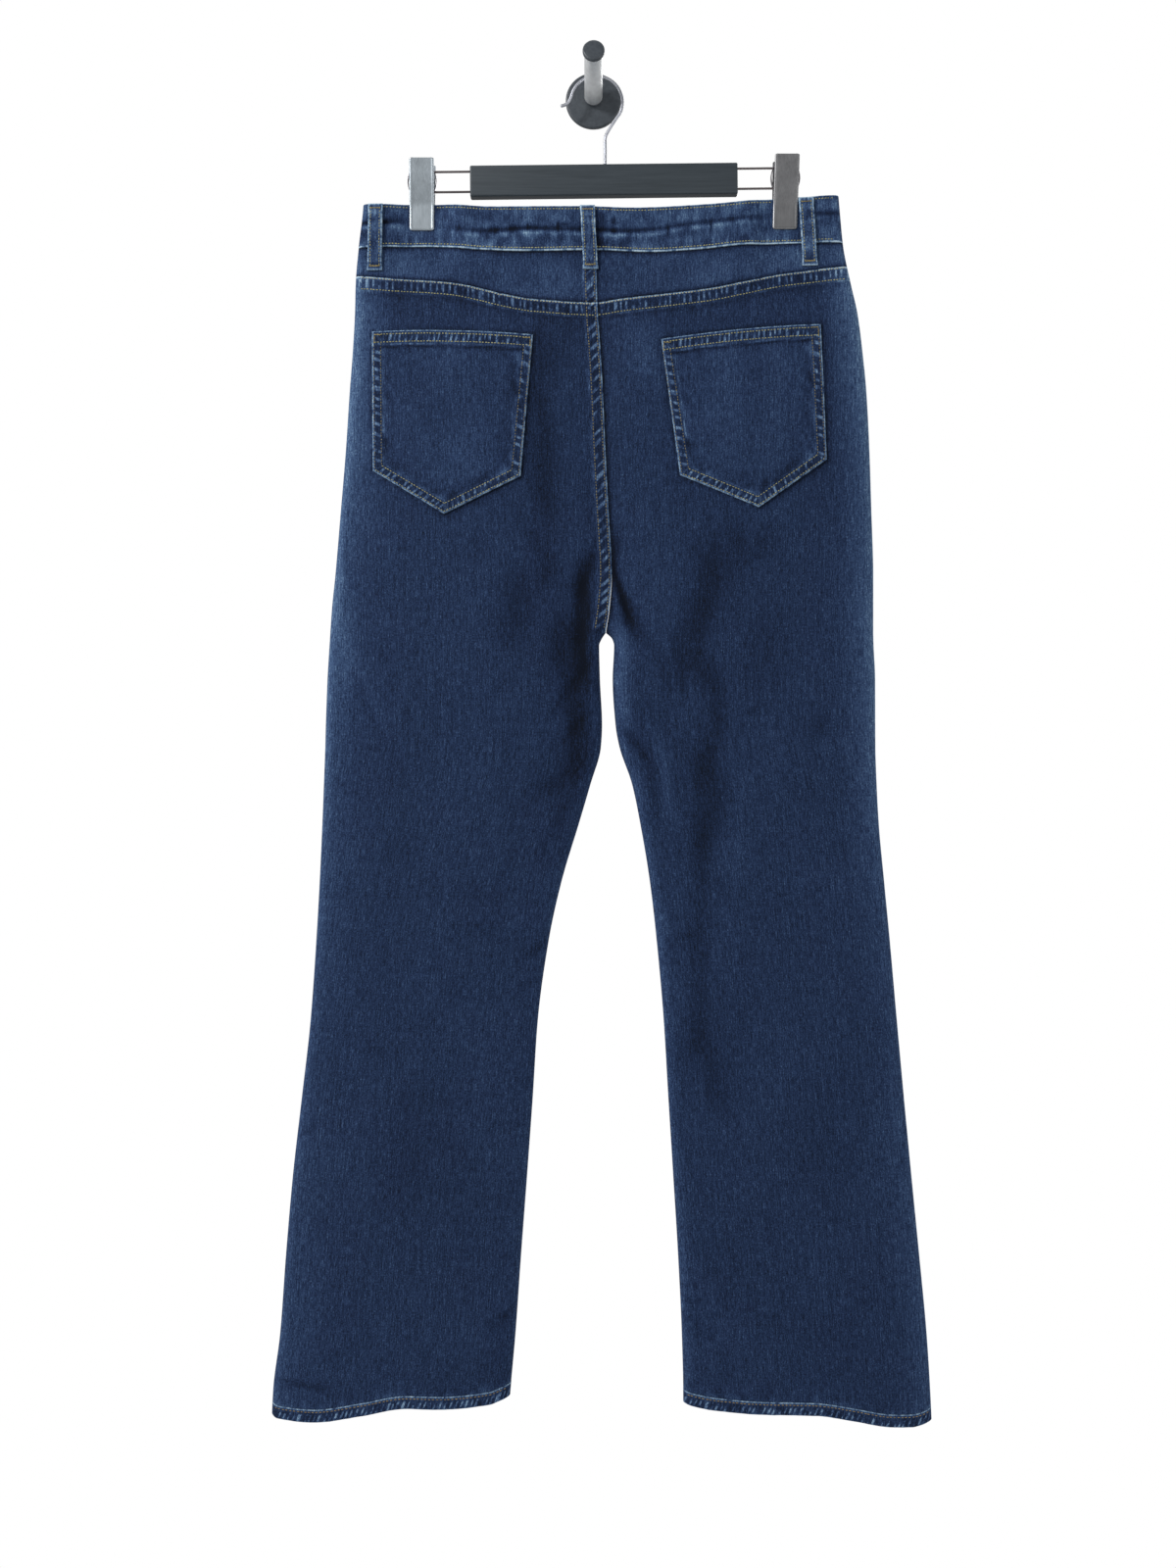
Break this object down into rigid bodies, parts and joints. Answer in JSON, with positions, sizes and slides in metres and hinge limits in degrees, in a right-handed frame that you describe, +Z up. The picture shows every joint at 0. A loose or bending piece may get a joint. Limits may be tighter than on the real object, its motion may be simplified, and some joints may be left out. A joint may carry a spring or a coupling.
{
  "type": "jeans on a clip hanger and wall hook",
  "caption": "Dark indigo jeans hung flat by the waistband from a clip hanger on a wall peg, seen from the back, with open waist and leg ends.",
  "frame": {"origin": "centre of the wall plate's flat back face", "axes": "+Y out of the plate's back, into the wall; +Z up; +X to the right as the back of the jeans is seen"},
  "size_m": [0.5852, 0.0793, 1.2053],
  "materials": {
    "denim": "dark indigo stretch denim twill, lightly streaked, worn paler on the edges",
    "zip_tape": "woven zip tape, navy",
    "button_brass": "aged plated metal",
    "black_wood": "black stained wood, satin, fine grain",
    "black_paint": "satin black",
    "chrome": "polished",
    "brushed_steel": "brushed along the jaw",
    "thread": "tan topstitching thread"
  },
  "bodies": {
    "root": {"waistband": "denim", "yoke_left": "denim", "yoke_right": "denim", "back_left": "denim", "back_right": "denim", "front_left": "denim", "front_right": "denim", "leg_hem_left": "denim", "leg_hem_right": "denim", "back_pocket_left": "denim", "back_pocket_right": "denim", "pocket_facing_left": "denim", "pocket_facing_right": "denim", "belt_loop_back": "denim", "belt_loop_back_left": "denim", "belt_loop_back_right": "denim", "belt_loop_front_left": "denim", "belt_loop_front_right": "denim", "fly_facing": "denim", "fly_zip": "zip_tape", "waist_button": "button_brass", "hanger_bar": "black_wood", "wall_plate": "black_paint", "peg_cap": "black_paint", "peg_shaft": "chrome", "hanger_hook": "chrome", "hanger_rail_left": "brushed_steel", "hanger_rail_right": "brushed_steel", "clip_left_outer": "brushed_steel", "clip_left_inner": "brushed_steel", "clip_right_outer": "brushed_steel", "clip_right_inner": "brushed_steel", "clip_left_bracket": "brushed_steel", "clip_right_bracket": "brushed_steel"}
  },
  "joints": []
}
